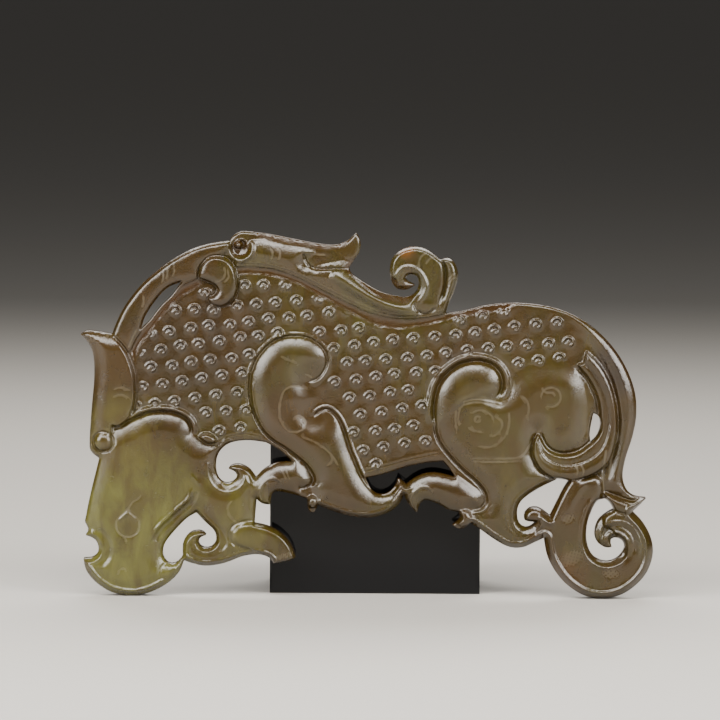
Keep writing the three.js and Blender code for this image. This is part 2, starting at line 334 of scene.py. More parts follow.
    def finish(self):
        """Bevels the face down to the side wall, and colours wide bevels darker russet towards the edge."""
        share = np.clip(self.edge / self.bevel, 0, 1)
        wide = np.clip((self.bevel - 0.6) / 0.4, 0, 1)
        self.height = WALL + (self.height - WALL) * (1 - (1 - share) ** (1.6 - 0.3 * wide))
        for axis in (0, 1):
            before, after = np.roll(self.height, 1, axis), np.roll(self.height, -1, axis)
            self.height = (before + 2 * self.height + after) / 4
        self.russet_share = np.maximum(self.russet_share, 0.9 * wide * np.clip(1.7 * (1 - share), 0, 1))
        self.smooth = self.height
        self.height = self.smooth + EVEN_OUT * np.sin(4.3 * self.x) * np.sin(4.3 * self.z)


# ---------------------------------------------------------------- the carving, part by part

# Rows of grain bosses: the first centre, the last centre, and how many.
BOSS_ROWS = [
    ((-32.1, 61.3), (-32.1, 61.3), 1), ((-24.1, 62.5), (-16.0, 62.8), 3),
    ((-37.6, 57.6), (-30.1, 57.9), 3), ((-25.7, 58.5), (-9.6, 60.2), 5),
    ((-42.8, 53.2), (-3.5, 57.6), 11),
    ((-44.8, 49.4), (-17.2, 53.2), 8), ((-8.9, 53.2), (2.8, 54.7), 4),
    ((-42.5, 46.3), (-22.9, 48.7), 6), ((-6.4, 50.2), (38.0, 55.2), 12),
    ((-44.6, 42.6), (-24.3, 45.0), 6), ((-3.8, 47.1), (40.4, 51.6), 12),
    ((-45.9, 38.7), (-25.7, 41.1), 6), ((-5.9, 43.5), (14.0, 45.6), 6),
    ((30.5, 47.0), (38.9, 48.0), 3),
    ((-31.6, 37.1), (-23.9, 37.9), 3), ((-3.0, 40.2), (8.8, 41.6), 4),
    ((-29.1, 33.4), (-24.9, 34.2), 2), ((-0.9, 37.0), (11.2, 38.5), 4),
    ((-2.1, 33.2), (9.8, 34.5), 4), ((-0.2, 29.8), (11.9, 31.4), 4),
    ((2.2, 27.1), (2.2, 27.1), 1), ((18.9, 55.6), (27.5, 57.3), 3),
]

MANE_LINE = [(-26.0, 66.5), (-23.0, 66.7), (-20.0, 66.4), (-17.0, 65.8), (-13.0, 64.3), (-9.0, 62.2),
             (-4.0, 59.7), (-0.2, 57.9), (3.6, 56.7), (7.2, 56.2), (11.2, 56.4), (15.7, 57.2)]
BAND_FOOT = [(-25.5, 64.7), (-21.0, 64.7), (-17.0, 64.0), (-13.0, 62.6), (-9.0, 60.4), (-4.5, 57.9),
             (0.6, 55.2), (4.0, 54.2), (7.2, 53.9), (12.2, 54.7), (17.5, 55.9), (22.8, 56.9), (28.0, 57.6)]
SLIT_EDGE = [(-47.0, 49.6), (-45.9, 52.0), (-44.6, 54.0), (-42.8, 56.0), (-40.8, 58.6), (-38.4, 61.0),
             (-36.6, 62.9), (-33.2, 64.4)]
SLIT_BAND_FOOT = [(-46.0, 47.6), (-45.0, 50.2), (-43.4, 52.6), (-40.6, 56.2), (-38.0, 59.2),
                  (-35.0, 61.3), (-32.0, 62.9)]


def field_of_bosses(relief):
    """The field of grain bosses on neck and flank."""
    field = spline([(-46.6, 36.0), (-45.2, 42.0), (-45.6, 46.4), (-44.4, 50.0), (-40.6, 56.0),
                    (-37.0, 59.8), (-32.0, 62.4), (-25.5, 64.4), (-17.0, 63.8), (-9.0, 60.2),
                    (-2.0, 56.4), (4.0, 54.1), (8.0, 53.8), (14.0, 55.4), (24.0, 58.1), (34.0, 57.9),
                    (40.0, 56.0), (43.4, 52.0), (41.6, 48.6), (30.0, 44.6), (20.0, 40.0), (14.0, 28.6),
                    (0.0, 25.2), (-10.0, 30.0), (-24.0, 31.8), (-30.6, 32.2), (-33.0, 34.0),
                    (-40.0, 38.6), (-46.6, 36.0)])
    mask = relief.soft_mask(field, 0.5)
    for first, last, count in BOSS_ROWS:
        for x, z in np.linspace(first, last, count):
            wander = math.sin(12.9 * x + 7.2 * z)
            relief.boss(x + 0.22 * wander, z + 0.18 * math.cos(9.7 * x - 5.1 * z), mask, 14 * wander)


def head(relief):
    """Ear, forehead, cheek and chin, with a rolled forelock over the cheek."""
    ear = spline([(-50.5, 53.0), (-49.5, 52.0), (-48.3, 50.7), (-47.3, 49.1), (-46.6, 47.3),
                  (-46.0, 45.2), (-45.8, 42.7), (-45.8, 40.5), (-46.2, 38.4), (-46.8, 36.8),
                  (-47.8, 35.4), (-49.2, 34.4), (-50.4, 34.6)])
    ear_form = np.vstack([ear, [(-50.4, 30.0), (-62.0, 30.0), (-62.0, 56.0), (-51.0, 56.0)]])
    relief.form(ear_form, 1.1 * FORM, 3.2, open_side=[(-58.0, 31.0), (-50.6, 31.0)], soft=2.5, crisp=0.7)
    relief.stroke(offset(ear, -0.15), 0.5, -0.22, taper=0.03)
    relief.stroke(offset(ear, 0.35), 0.55, 0.16, taper=0.05)
    for z in (42.5, 41.0):
        relief.engrave([(-50.4, z - 0.5), (-48.8, z), (-46.8, z - 0.7)])
    for i in range(9):
        x = -55.8 + 0.72 * i
        relief.engrave(np.array([(x, 52.9), (x + 0.5, 51.6)]), 0.26, 0.06)
    # cheek and face
    groove = spline([(-50.0, 34.2), (-48.6, 35.0), (-46.0, 36.2), (-42.9, 37.3), (-39.3, 37.4),
                     (-36.3, 36.4), (-35.0, 34.7), (-34.7, 32.9)])
    rest = [(-33.4, 31.9), (-31.6, 31.2), (-29.6, 30.8), (-28.0, 33.0), (-20.0, 28.0), (-12.0, 5.0),
            (-40.0, -3.0), (-62.0, 0.0), (-62.0, 34.0), (-54.0, 33.0)]
    relief.form(np.vstack([groove, rest]), 0.95 * FORM, 4.4)
    relief.stroke(groove, 0.9, -0.45, taper=0.1)
    lock = spline([(-47.6, 35.9), (-45.4, 37.4), (-42.5, 38.2), (-39.0, 38.2), (-36.0, 37.1),
                   (-34.4, 35.4), (-34.1, 33.3)])
    relief.stroke(lock, 1.5, 0.62, taper=0.1)
    relief.stroke(offset(lock, 0.75), 0.5, -0.18, taper=0.1)
    blob = spline([(-33.4, 32.6), (-32.0, 33.4), (-30.4, 32.9), (-29.6, 31.8), (-30.4, 31.2), (-32.0, 31.4),
                   (-33.4, 32.6)])
    relief.form(blob, 1.15 * FORM, 0.9)
    # brow bead
    bead = (-52.3, 31.6)
    relief.stroke(arc(bead, 2.05, 0, 360), 0.7, -0.45, taper=0)
    relief.form(arc(bead, 1.75, 0, 360), 1.35 * FORM, 1.7, base=0.6 * FORM, to_edge=False)
    # eye
    eye = (-47.5, 14.9)
    relief.engrave(arc(eye, 2.35, -218, 38), 0.42, 0.2)
    relief.engrave([(-49.4, 16.3), (-48.3, 17.2), (-47.5, 18.1), (-46.8, 17.2), (-45.6, 16.3)], 0.42, 0.2)
    relief.stroke([(-49.3, 15.7), (-48.4, 16.8), (-47.5, 17.2), (-46.6, 16.8), (-45.7, 15.7)],
                  0.9, 0.2)
    relief.engrave([(-47.4, 18.2), (-46.4, 19.6), (-45.4, 20.2), (-44.7, 21.0)], 0.32, 0.10)
    relief.engrave([(-48.3, 12.5), (-47.9, 12.1), (-47.8, 11.6)], 0.3, 0.10)
    # cheek ridge, with the jaw bevelled away below it
    cheek = spline([(-34.8, 21.9), (-35.5, 20.1), (-37.6, 18.3), (-39.8, 16.2), (-41.6, 14.4),
                    (-42.9, 12.0)])
    relief.stroke(offset(cheek, 0.95), 1.9, -0.42, taper=0.15)
    relief.stroke(cheek, 1.0, 0.30, taper=0.2)
    relief.stroke([(-34.7, 24.9), (-33.9, 24.0), (-33.0, 23.0)], 0.8, 0.14)
    # mouth and chin
    mouth = [(-58.0, 14.6), (-55.6, 14.4), (-52.0, 13.6), (-50.6, 11.0), (-51.0, 7.6), (-53.4, 5.6),
             (-58.0, 5.6)]
    relief.edge_ridge(np.array(mouth), 0.9, 1.3, 0.4)
    relief.stroke([(-54.9, 14.3), (-52.6, 13.4), (-51.2, 11.2), (-51.3, 8.6), (-52.8, 6.6)],
                  1.4, -0.22, taper=0.2)
    chin = np.array([(-58.0, 7.4), (-55.0, 7.0), (-52.0, 5.5), (-46.0, 4.6), (-41.6, 5.2), (-39.6, 3.4),
                     (-44.0, -2.0), (-56.0, -1.0)])
    relief.edge_ridge(chin, 1.15, 1.2, 0.55, soft=0.5)
    relief.stroke([(-41.4, 4.6), (-41.0, 6.2), (-40.0, 7.0), (-38.6, 6.7)], 0.8, -0.25)
    relief.engrave([(-49.5, 5.0), (-49.2, 5.9), (-48.4, 6.2), (-47.7, 5.7)], 0.3, 0.08)


def throat(relief):
    """Jaw hair, beard and throat tuft."""
    jaw = np.array([(-34.6, 20.4), (-32.0, 19.0), (-27.6, 13.0), (-27.8, 8.6), (-38.0, 8.4), (-38.0, 13.0),
                    (-34.6, 14.6)])
    relief.wide_bevel(jaw, 0.5, soft=0.4)
    relief.edge_ridge(jaw, 0.8, 0.9, 0.26, soft=0.4)
    relief.stroke([(-32.4, 19.6), (-31.6, 17.2), (-29.9, 15.2), (-28.4, 13.4), (-27.9, 11.4),
                   (-28.8, 9.6)], 1.0, -0.16, taper=0.15)
    # beard: a leaf with a rolled root, and a rim along its underside
    leaf = spline([(-25.2, 10.9), (-26.5, 11.9), (-26.7, 13.2), (-25.9, 14.4), (-24.1, 15.1),
                   (-22.2, 15.3), (-19.8, 15.8), (-16.0, 13.5), (-13.0, 9.0), (-14.0, 6.8), (-18.4, 6.4),
                   (-18.8, 8.2), (-20.4, 9.4), (-22.6, 10.0), (-25.2, 10.9)])
    relief.form(leaf, 1.2 * FORM, 1.6, base=0.8 * FORM)
    relief.stroke([(-24.6, 10.3), (-25.9, 10.8), (-27.2, 12.0), (-27.2, 13.6), (-26.2, 15.0),
                   (-24.2, 15.7), (-22.6, 15.8)], 0.7, -0.34)
    under = np.array([(-38.0, 10.2), (-35.0, 8.9), (-31.0, 8.4), (-27.4, 9.2), (-22.6, 11.0), (-19.6, 10.6),
                      (-17.6, 8.4), (-18.6, 4.0), (-38.0, 4.0)])
    relief.wide_bevel(under, 0.4, soft=0.4)
    relief.edge_ridge(under, 0.9, 0.9, 0.42, soft=0.4)
    for i in range(8):
        x = -17.9 + 0.44 * i
        relief.engrave(np.array([(x, 7.7 + 0.14 * i), (x + 0.28, 8.9 + 0.12 * i)]), 0.28, 0.10)
    relief.engrave([(-26.6, 19.9), (-27.5, 18.7), (-27.3, 17.2), (-26.5, 16.0), (-25.0, 15.1)])
    # tuft under the neck piercing: a wide bevel coloured darker russet, with a bright roll below it
    tuft = np.array([(-32.4, 27.6), (-30.8, 27.6), (-29.6, 24.4), (-27.6, 22.6), (-25.4, 23.8),
                     (-23.6, 26.0), (-22.4, 22.6), (-24.4, 19.6), (-29.0, 19.2), (-32.4, 22.0)])
    relief.wide_bevel(tuft, 1.2, soft=0.6)
    relief.edge_ridge(tuft, 1.7, 1.5, 0.20, soft=0.6)
    hook = np.array([(-28.2, 27.6), (-22.0, 28.0), (-21.2, 24.0), (-23.6, 22.8), (-25.0, 24.0)])
    relief.edge_ridge(hook, 0.75, 0.7, 0.18, soft=0.4)


def mane(relief):
    """The arched mane, its slit and the sunk, darker russet band that runs on under it to the rump."""
    slit, line = spline(SLIT_EDGE), spline(MANE_LINE)
    relief.sink(np.vstack([slit, spline(SLIT_BAND_FOOT)[::-1]]), 0.22, 0.6, russet_share=1.0)
    end = [(19.0, 58.6), (24.0, 60.2), (30.0, 61.0), (30.0, 58.6)]
    relief.sink(np.vstack([line, end, spline(BAND_FOOT)[::-1]]), 0.25, 0.6, russet_share=1.0)
    front = np.vstack([spline([(-47.4, 49.4), (-51.0, 53.4), (-51.0, 57.0), (-44.0, 67.0), (-33.0, 73.0),
                               (-27.4, 73.0), (-28.0, 69.0), (-32.8, 66.6), (-33.2, 64.6)]), slit[::-1]])
    relief.form(front, 0.55 * FORM, 1.8)
    relief.stroke(slit, 0.6, 0.24, taper=0.06)
    for x, z in ((-39.9, 65.0), (-38.5, 65.8), (-44.6, 59.6), (-40.7, 64.4)):
        relief.engrave([(x + 0.2, z + 1.5), (x + 0.45, z), (x, z - 1.3)])
    relief.engrave([(-47.2, 50.4), (-46.4, 52.4), (-45.6, 54.0)], 0.4, 0.16)
    back = np.vstack([line, spline([(15.7, 57.2), (16.4, 60.0), (10.0, 62.4), (4.0, 62.6), (-3.0, 67.6),
                                    (-11.8, 66.2), (-12.4, 68.2), (-10.0, 69.5), (-17.0, 71.0),
                                    (-22.6, 71.8), (-25.5, 68.2), (-26.0, 66.4)])[1:]])
    relief.form(back, 0.7 * FORM, 3.4, base=0.1, to_edge=False)
    bevel = np.array([(-8.6, 66.6), (-3.0, 64.6), (1.2, 60.6), (6.0, 58.2), (9.4, 58.6), (10.0, 63.0),
                      (2.0, 66.0), (-4.0, 69.0)])
    relief.wide_bevel(bevel, 1.7, soft=0.8)
    relief.stroke([(-6.8, 65.3), (-3.9, 63.4), (-1.4, 61.7), (1.1, 60.2), (4.1, 58.7), (7.2, 57.9),
                   (10.4, 57.2)], 3.6, 0.75, taper=0.15)
    relief.threads(offset(line, 0.1))


def crest(relief):
    """The crest: a small curl at the front and a wing that sweeps back over the neck."""
    wing = np.array([(-22.2, 75.0), (-22.4, 71.2), (-17.0, 70.4), (-9.0, 68.8), (-5.7, 68.8), (-3.6, 69.8),
                     (-1.0, 75.0)])
    relief.wide_bevel(wing, 1.3, soft=1.2)
    relief.stroke([(-12.4, 69.4), (-12.1, 68.2), (-11.4, 66.9), (-10.4, 66.2), (-9.0, 66.05),
                   (-6.0, 66.1), (-3.0, 66.1)], 0.7, -0.5, taper=0.05)
    for x in (-18.9, -17.4):
        relief.engrave([(x - 0.3, 70.4), (x + 0.4, 69.4), (x + 0.1, 68.0)])
    relief.engrave([(-11.0, 69.2), (-9.4, 68.9), (-8.0, 68.9)], 0.3, 0.08)
    # comma leaf below the curl
    leaf = spline([(-32.9, 66.4), (-31.5, 68.2), (-29.5, 68.7), (-27.5, 68.0), (-26.1, 66.4),
                   (-25.6, 64.5), (-25.5, 62.5), (-26.1, 60.6), (-27.5, 59.1), (-29.0, 58.6),
                   (-30.7, 59.1), (-31.4, 60.3), (-30.2, 60.7), (-29.5, 61.8), (-29.9, 62.8),
                   (-31.4, 63.6), (-33.2, 64.4), (-32.9, 66.4)])
    relief.stroke(leaf, 0.9, -0.34, taper=0)
    relief.form(leaf, 0.95 * FORM, 1.5, base=0.25)
    relief.stroke([(-32.6, 65.8), (-31.4, 67.5), (-29.5, 68.0), (-27.8, 67.4), (-26.7, 66.0),
                   (-26.2, 64.3), (-26.1, 62.6)], 0.6, 0.14)
    relief.engrave([(-28.2, 66.6), (-27.9, 65.2), (-28.6, 64.0), (-30.4, 63.4)])
    relief.engrave([(-27.6, 66.3), (-27.2, 64.6), (-28.2, 63.4)])
    # curl
    centre = (-24.9, 70.3)
    relief.stroke(arc(centre, 2.5, -205, 35), 1.3, 0.45, taper=0.12)
    relief.sink(arc(centre, 2.0, 0, 360), 0.55, 0.5, russet_share=0.8)
    relief.stroke(arc((-24.8, 70.7), 1.25, -20, 190), 0.7, 0.6, taper=0.12)
    relief.form(arc((-25.3, 70.9), 0.75, 0, 360), 0.9 * FORM, 0.75, to_edge=False)


def back_scroll(relief):
    """The scroll on the back, with a second lobe behind it."""
    disc = spline([(3.6, 66.0), (5.4, 69.4), (7.4, 71.6), (10.0, 72.0), (13.2, 71.0), (15.0, 67.9),
                   (15.6, 66.3), (15.7, 63.5), (15.2, 61.0), (14.2, 58.4), (12.2, 57.2), (10.4, 57.6),
                   (9.6, 58.9), (8.4, 61.6), (4.0, 62.0), (3.6, 66.0)])
    relief.form(disc, 0.6 * FORM, 1.0)
    lobe = spline([(15.0, 67.9), (15.9, 70.4), (19.4, 69.0), (20.4, 65.0), (18.8, 60.6), (16.8, 57.6),
                   (14.6, 57.6), (14.7, 58.6), (15.6, 61.0), (16.1, 63.5), (16.0, 66.3), (15.0, 67.9)])
    relief.form(lobe, 0.65 * FORM, 1.8)
    relief.stroke([(15.0, 67.9), (15.7, 66.3), (15.8, 63.5), (15.3, 61.0), (14.3, 58.5)], 0.5, -0.35,
                  taper=0.05)
    relief.stroke([(9.7, 59.3), (10.0, 58.0), (11.4, 57.1), (12.8, 57.3), (13.9, 58.2)], 0.6, -0.4,
                  taper=0.1)
    inner = spline([(4.9, 64.8), (5.4, 63.3), (6.6, 62.6), (8.0, 62.9)])
    relief.stroke(inner, 1.5, 0.3, taper=0.2)
    relief.stroke([(5.9, 64.2), (6.6, 65.6), (7.6, 66.4), (8.9, 66.5), (10.3, 65.9), (11.4, 64.6),
                   (12.1, 62.6), (11.5, 60.8), (10.4, 59.2)], 1.3, 0.34, taper=0.15)
    relief.engrave([(10.7, 66.5), (10.6, 67.5), (11.2, 68.7), (12.5, 69.5)])
    relief.engrave([(12.0, 67.0), (12.6, 68.0), (13.7, 68.5)])
    relief.engrave([(16.4, 63.7), (17.1, 64.8), (18.1, 65.3)])
    relief.engrave([(16.3, 62.9), (17.3, 64.1), (18.4, 64.5)])


def fore_leg(relief):
    """Shoulder, forearm, shank and foot."""
    groove = spline([(-11.4, 43.6), (-9.6, 44.2), (-8.3, 45.8), (-7.7, 48.0), (-8.4, 50.0), (-10.2, 51.6),
                     (-12.6, 52.5), (-15.8, 52.5), (-18.6, 51.4), (-21.0, 49.0), (-22.4, 46.4),
                     (-23.1, 43.2), (-22.9, 39.6), (-22.0, 36.4), (-20.6, 33.8), (-18.6, 31.8),
                     (-15.8, 30.0), (-13.0, 27.8), (-11.2, 25.9), (-10.3, 24.0), (-10.9, 22.6)])
    arm = spline([(-10.4, 36.6), (-9.2, 37.6), (-7.8, 38.0), (-6.4, 37.2), (-5.2, 35.6), (-4.2, 33.2),
                  (-3.2, 30.0), (-2.2, 27.6), (-1.0, 24.8), (0.6, 22.4), (2.6, 21.0), (4.6, 21.0),
                  (6.4, 22.8)])
    rest = [(-10.6, 21.0), (-9.6, 17.0), (-4.0, 14.0), (0.5, 13.6), (6.0, 15.0), (9.0, 20.0), (7.0, 24.8)]
    outline = np.vstack([groove, rest, arm[::-1]])
    side = [(-9.6, 38.0), (-8.8, 40.4), (-9.8, 43.0)]
    relief.form(outline, FORM, 4.2, open_side=side, soft=7.0, mouth=side)
    relief.stroke(groove, 0.62, -0.40, taper=0.02)
    rim = offset(groove, -0.62)[:int(0.62 * len(groove))]
    relief.stroke(rim, 0.55, 0.24, taper=0.05)
    low = offset(groove, 0.60)[int(0.52 * len(groove)):]
    relief.stroke(low, 0.60, 0.30, taper=0.12)
    relief.stroke(arm, 0.75, -0.42, taper=0.04)
    relief.stroke(offset(arm, 0.66)[:int(0.75 * len(arm))], 0.7, 0.34, taper=0.08)
    for points in (
            [(-11.2, 41.8), (-13.0, 42.6), (-15.0, 42.6), (-16.4, 41.6), (-17.0, 39.6), (-17.2, 37.6),
             (-16.8, 35.6), (-15.4, 33.8), (-14.0, 33.6), (-12.4, 34.2), (-12.0, 35.6), (-12.8, 36.6),
             (-14.0, 36.6), (-14.5, 35.8)],
            [(-13.0, 32.8), (-10.2, 31.6), (-7.8, 30.0), (-6.4, 28.4), (-5.2, 26.2)],
            [(-6.8, 28.9), (-6.8, 27.6), (-7.9, 26.8)],
            [(-17.0, 48.8), (-15.4, 48.0), (-13.6, 47.2)],
            [(-12.2, 45.2), (-11.2, 44.7), (-10.6, 44.2)]):
        relief.engrave(points, 0.26, 0.08)
    foot = np.array([(-9.6, 20.8), (-6.0, 19.8), (-2.6, 18.8), (0.6, 18.2), (3.6, 19.0), (5.2, 20.4),
                     (6.0, 24.6), (9.6, 22.0), (6.4, 14.6), (0.0, 12.0), (-9.6, 14.6)])
    relief.wide_bevel(foot, 0.45, soft=0.4)
    relief.edge_ridge(foot, 0.9, 1.0, 0.42, soft=0.4)
    # shank and claw
    shank = spline([(-24.0, 24.6), (-21.4, 27.4), (-18.0, 29.4), (-14.8, 29.0), (-12.6, 27.0),
                    (-11.0, 24.8), (-10.9, 23.4), (-11.6, 22.5), (-13.0, 22.0), (-12.4, 18.6),
                    (-17.6, 19.4), (-18.2, 17.0), (-24.0, 17.6), (-24.0, 24.6)])
    relief.form(shank, FORM, 3.3)
    relief.stroke([(-11.6, 25.8), (-10.7, 24.4), (-10.8, 23.1), (-12.2, 22.3), (-13.4, 22.2)], 0.55,
                  -0.3, taper=0.1)
    claw(relief, (-20.2, 19.4), 1.0)
    for dx in (0.0, 0.8):
        relief.engrave([(-16.7 + dx, 26.2), (-16.4 + dx, 25.2), (-15.8 + dx, 24.0)])
    relief.form(arc((-10.6, 19.5), 1.3, 0, 360), 1.15 * FORM, 1.3, to_edge=False)


def claw(relief, tip, size):
    """The engraved crescent that marks a claw off from its shank, with a raised rim beside it that carries a
    painted highlight.
    """
    shape = [(0.0, 0.1), (-0.5, 1.7), (0.0, 3.5), (1.4, 4.5), (2.7, 4.2), (3.2, 3.2)]
    line = spline([(tip[0] + size * x, tip[1] + size * z) for x, z in shape])
    relief.stroke(line, 0.5, -0.24, taper=0.15)
    relief.stroke(offset(line, 0.4), 0.5, 0.18, taper=0.15)
    # painted highlight: the crest of the rim beside the claw's cut is coloured pale
    relief.pale_cut_and_highlight = np.maximum(relief.pale_cut_and_highlight, 0.5 * relief.stroke(offset(line, 0.4), 0.3, 0.0))


def hind_leg(relief):
    """Thigh, shank and foot."""
    groove = spline([(26.6, 40.7), (27.2, 42.2), (27.2, 43.9), (26.5, 45.6), (25.0, 46.9), (22.2, 47.6),
                     (19.0, 47.0), (16.4, 45.2), (14.6, 42.8), (13.9, 40.4), (13.6, 37.8), (13.7, 35.4)])
    flank = spline([(13.7, 35.4), (14.0, 33.0), (15.0, 30.8), (17.0, 28.2), (19.4, 25.7), (22.0, 23.4),
                    (23.6, 21.4), (23.9, 19.6), (23.0, 18.3), (21.2, 17.9)])
    lower = [(19.6, 17.4), (18.0, 13.0), (25.0, 8.6), (31.0, 7.6), (37.6, 9.6), (37.6, 14.0), (34.0, 21.6),
             (38.8, 25.6), (36.6, 25.6), (34.6, 26.8), (33.4, 29.2), (33.4, 31.6), (34.2, 33.8)]
    belly = [(34.8, 32.2), (35.8, 30.4), (37.4, 29.4), (39.4, 29.1), (41.4, 29.8), (43.0, 31.4),
             (44.0, 35.0), (44.2, 39.0), (43.4, 43.4), (41.8, 47.0)]
    outline = np.vstack([groove, flank[1:], lower, spline(belly)])
    side = [(36.0, 48.4), (30.0, 46.4), (27.6, 43.4)]
    relief.form(outline, 0.9 * FORM, 4.4, open_side=[(41.8, 48.4)] + side, soft=6.0, mouth=side)
    dome = np.vstack([offset(groove, 0.45), [(15.0, 32.4), (20.0, 37.0), (24.0, 39.2)]])
    relief.form(dome, 1.1 * FORM, 3.8, base=0.3 * FORM, open_side=[(15.0, 33.0), (21.0, 38.0), (26.0, 39.6)],
                soft=2.6)
    relief.stroke(groove, 0.85, -0.5, taper=0.06)
    relief.stroke(offset(groove, -1.05), 1.5, 0.52, taper=0.07)
    relief.stroke(offset(groove, -1.85), 0.5, -0.16, taper=0.1)
    relief.stroke(flank, 0.8, -0.38, taper=0.08)
    relief.stroke(offset(flank, 0.68), 0.6, 0.3, taper=0.1)
    for dz in (0.0, -0.65):
        line = [(19.4, 39.6 + dz), (21.4, 40.1 + dz), (24.2, 40.0 + dz), (27.2, 39.3 + dz)]
        relief.engrave(line, 0.36, 0.2)
    # cloud pattern
    cloud = [
        [(18.7, 34.6), (18.4, 36.4), (18.8, 38.2), (19.6, 39.0)],
        [(28.5, 37.8), (28.6, 35.8), (28.2, 33.6), (26.8, 31.6), (24.6, 30.5), (22.2, 30.8)],
        [(21.0, 37.2), (22.4, 37.9), (24.0, 37.6), (25.2, 36.6), (25.5, 35.4)],
        [(20.4, 34.4), (21.6, 33.8), (23.4, 33.5)],
        [(25.9, 36.6), (27.1, 35.6), (27.0, 34.2), (26.0, 33.0), (24.8, 32.6)],
        [(21.2, 28.3), (24.4, 28.2), (28.0, 28.3), (30.6, 28.5), (32.2, 30.0), (33.2, 32.4)],
        [(21.2, 27.7), (24.4, 27.6), (28.2, 27.6), (31.0, 27.9)],
        [(30.8, 40.8), (32.0, 40.0), (32.5, 38.2), (32.2, 36.4)],
        [(18.2, 33.4), (17.9, 35.6), (18.0, 37.6)],
    ]
    for points in cloud:
        relief.engrave(points, 0.26, 0.07)
    relief.engrave(arc((22.3, 36.1), 0.62, 0, 360), 0.26, 0.07)
    relief.engrave(arc((36.9, 40.5), 1.95, -120, 200), 0.3, 0.09)
    relief.engrave([(35.0, 42.4), (36.0, 41.4), (37.2, 41.4), (37.8, 40.6)], 0.28, 0.08)
    # shank, heel, foot and spur
    shank = spline([(6.0, 22.6), (8.6, 25.6), (12.0, 27.4), (15.6, 27.0), (18.6, 24.7), (21.0, 23.0),
                    (22.8, 21.4), (23.2, 19.8), (22.4, 18.7), (20.6, 18.2), (18.0, 15.6), (14.0, 17.4),
                    (12.0, 18.0), (10.6, 15.0), (6.0, 18.4), (6.0, 22.6)])
    relief.form(shank, FORM, 3.3)
    claw(relief, (9.9, 17.6), 1.02)
    relief.form(arc((19.5, 16.3), 1.8, 0, 360), 1.05 * FORM, 1.6)
    foot = np.array([(20.6, 17.2), (24.0, 15.6), (28.0, 13.2), (30.4, 12.8), (33.6, 13.6), (36.4, 10.0),
                     (30.0, 6.0), (20.0, 11.0)])
    relief.wide_bevel(foot, 0.5, soft=0.4)
    relief.edge_ridge(foot, 1.0, 1.1, 0.45, soft=0.4)
    hock = np.array([(38.8, 24.4), (33.0, 24.4), (27.4, 20.0), (27.4, 14.0), (30.4, 11.6), (32.8, 14.4),
                     (31.0, 19.0), (38.4, 23.6)])
    relief.wide_bevel(hock, 0.5, soft=0.3)
    relief.edge_ridge(hock, 1.0, 1.2, 0.25, soft=0.4)
    spur = spline([(33.9, 19.2), (31.2, 18.8), (30.6, 16.6), (32.0, 14.8), (34.0, 14.4), (35.0, 12.2),
                   (36.8, 11.8), (36.9, 16.4), (35.9, 18.2), (33.9, 19.2)])
    relief.form(spur, 0.9 * FORM, 1.6)


